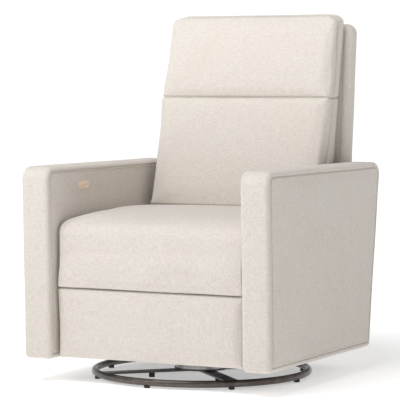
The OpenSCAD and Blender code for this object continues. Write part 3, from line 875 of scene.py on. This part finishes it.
def build_side_liners():
    """Cloth along each side of the space between the back cushion and the rear panel."""
    low, high, out = 300 * MM, 990 * MM, 252 * MM
    front_edge = 228 * MM
    depth = 60 * MM

    def fit(x, y, z):
        inset = -6 * MM if z > SEAM_Z else 4 * MM
        front = max(cushion_rear(z) - inset, front_edge)
        rear = panel_rear(z) - PANEL_THICK + 3 * MM
        return (x, front + (rear - front) * y / depth, z)

    for name, side in (("left_back_liner", 1), ("right_back_liner", -1)):
        near, far = side * out - CLOTH_THICK / 2, side * out + CLOTH_THICK / 2
        liner = pad_mesh(name, (near, 0.0, low), (far, depth, high), CLOTH_RADII, LINEN)
        warp(liner, fit)
        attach(liner, "back")


def build_rear_panel():
    low, high = REAR_LOW, REAR_HIGH
    corners = [(low[0], low[2]), (high[0], low[2]), (high[0], high[2]), (low[0], high[2])]
    outline = rounded_outline(corners, [24 * MM, 24 * MM, 30 * MM, 30 * MM], 11 * MM)

    def place(u, v, depth):
        return (u, panel_rear(v) - PANEL_THICK + depth, v)

    panel = slab_mesh("rear_shell", outline, PANEL_THICK, (22 * MM, 22 * MM), place, LINEN,
                      seam_back=1.0, crowns=(3 * MM, 3 * MM))
    ripple(panel, 0.9 * MM, 0.18, 17)
    soft(panel, "back", 0.9, "rear_panel")
    path = [place(*spot, PANEL_THICK) for spot in shrink_outline(outline, 28 * MM)]
    stitch_row("rear_shell_stitches", panel, path, True, "back")
    return panel


def build_lower_panel():
    low, high = LOWER_LOW, LOWER_HIGH
    corners = [(low[0], low[2]), (high[0], low[2]), (high[0], high[2]), (low[0], high[2])]
    outline = rounded_outline(corners, [8 * MM] * 4, 12 * MM)
    lean = 12 * MM
    thick = 19 * MM

    def place(u, v, depth):
        return (u, low[1] + lean * (v - low[2]) / (high[2] - low[2]) + depth, v)

    panel = slab_mesh("lower_back_skirt", outline, thick, (6 * MM, 6 * MM), place, LINEN,
                      groove=0.8 * MM, seam_back=0.5)
    return soft(panel, "chassis", 0.95, "lower_back_panel")


# ---------------------------------------------------------------- control plate

def build_marks():
    """One small plain arrowhead on each push button."""
    for name, way in (("button_open", 1), ("button_close", -1)):
        low, high = node_box(name)
        centre = (low + high) / 2
        size = 2.6 * MM
        x0, x1 = high[0] - 0.2 * MM, high[0] + 0.15 * MM
        flat = [(-size, -size * 0.6 * way), (size, -size * 0.6 * way), (0.0, size * way)]
        points = [(x, centre[1] + u, centre[2] + v) for x in (x0, x1) for u, v in flat]
        faces = [(0, 1, 2), (3, 5, 4), (0, 3, 4, 1), (1, 4, 5, 2), (2, 5, 3, 0)]
        mark = make_object(name + "_mark", points, faces, MARK)
        face_outward(mark)
        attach(mark, name)


# ---------------------------------------------------------------- stage

# The camera stands about 6 m away, to the front and right, and looks slightly down
CAMERA_PLACE = (2.790, -5.521, 0.849)
CAMERA_AZIMUTH = math.radians(27.055)
CAMERA_PITCH = math.radians(3.2485)
CAMERA_LENS = 194.5


def build_camera():
    data = bpy.data.cameras.new("camera")
    data.lens = CAMERA_LENS
    data.sensor_width = 36
    camera = bpy.data.objects.new("camera", data)
    camera.location = CAMERA_PLACE
    camera.rotation_euler = (math.pi / 2 - CAMERA_PITCH, 0, CAMERA_AZIMUTH)
    bpy.context.scene.collection.objects.link(camera)
    bpy.context.scene.camera = camera


def area_light(name, place, target, size, power):
    data = bpy.data.lights.new(name, "AREA")
    data.shape = "RECTANGLE"
    data.size, data.size_y = size
    data.energy = power
    light = bpy.data.objects.new(name, data)
    light.location = place
    aim = Vector(target) - Vector(place)
    light.rotation_euler = aim.to_track_quat("-Z", "Y").to_euler()
    bpy.context.scene.collection.objects.link(light)


# Strength of the studio's even light above the backdrop band
SKY_LIGHT = 0.31
# Strength of the floor's own light near the chair and far from it
FLOOR_GLOW = (0.44, 0.85)


def build_sky():
    """Even studio light, brighter in a low band that stands for a white backdrop."""
    world = bpy.data.worlds.new("studio")
    world.use_nodes = True
    tree = world.node_tree
    sky = tree.nodes["Background"]
    sky.inputs["Color"].default_value = (1.0, 1.0, 1.0, 1.0)
    place = tree.nodes.new("ShaderNodeTexCoord")
    parts = tree.nodes.new("ShaderNodeSeparateXYZ")
    band = tree.nodes.new("ShaderNodeMapRange")
    tree.links.new(place.outputs["Generated"], parts.inputs[0])
    tree.links.new(parts.outputs["Z"], band.inputs["Value"])
    band.inputs["From Min"].default_value = 0.10
    band.inputs["From Max"].default_value = 0.25
    band.inputs["To Min"].default_value = 1.05
    band.inputs["To Max"].default_value = SKY_LIGHT
    tree.links.new(band.outputs["Result"], sky.inputs["Strength"])
    bpy.context.scene.world = world


def build_stage():
    floor = pad_mesh("floor", (-9, -7.5, -0.02), (9, 10.5, 0.0), ((0.005, 0.005),) * 3,
                     floor_material(), step=1.5)
    build_sky()
    area_light("key", (-1.9, -3.0, 1.9), (0, 0, 0.6), (1.2, 1.2), 23)
    area_light("top", (-0.2, -1.3, 3.0), (0, 0, 0.5), (1.8, 1.8), 60)
    bpy.context.scene.view_settings.view_transform = "Standard"
    bpy.context.scene.view_settings.look = "None"


def floor_material():
    n = Nodes("studio_floor")
    speck = n.noise((6, 6, 6), 2.0)
    color = n.mix(n.spread(speck, 0.2, 0.8), (0.91, 0.91, 0.91), (0.92, 0.92, 0.92))
    reach = n.add("ShaderNodeVectorMath", operation="LENGTH")
    n.link(n.coordinates(), reach.inputs[0])
    glow = n.add("ShaderNodeMapRange")
    n.link(reach.outputs["Value"], glow.inputs["Value"])
    for socket, value in zip(("From Min", "From Max", "To Min", "To Max"), (0.7, 2.6) + FLOOR_GLOW):
        glow.inputs[socket].default_value = value
    n.link(glow.outputs["Result"], n.shader.inputs["Emission Strength"])
    return n.finish(color, 0.8, Emission_Color=(1.0, 1.0, 1.0, 1.0))


build_camera()
dress_cad_nodes()
build_arm(1)
build_arm(-1)
build_seat()
build_footrest()
build_back()
build_head()
build_seam_gusset()
build_recline_gusset()
build_rear_panel()
build_lower_panel()
build_seat_drop()
build_side_liners()
build_marks()
build_stage()
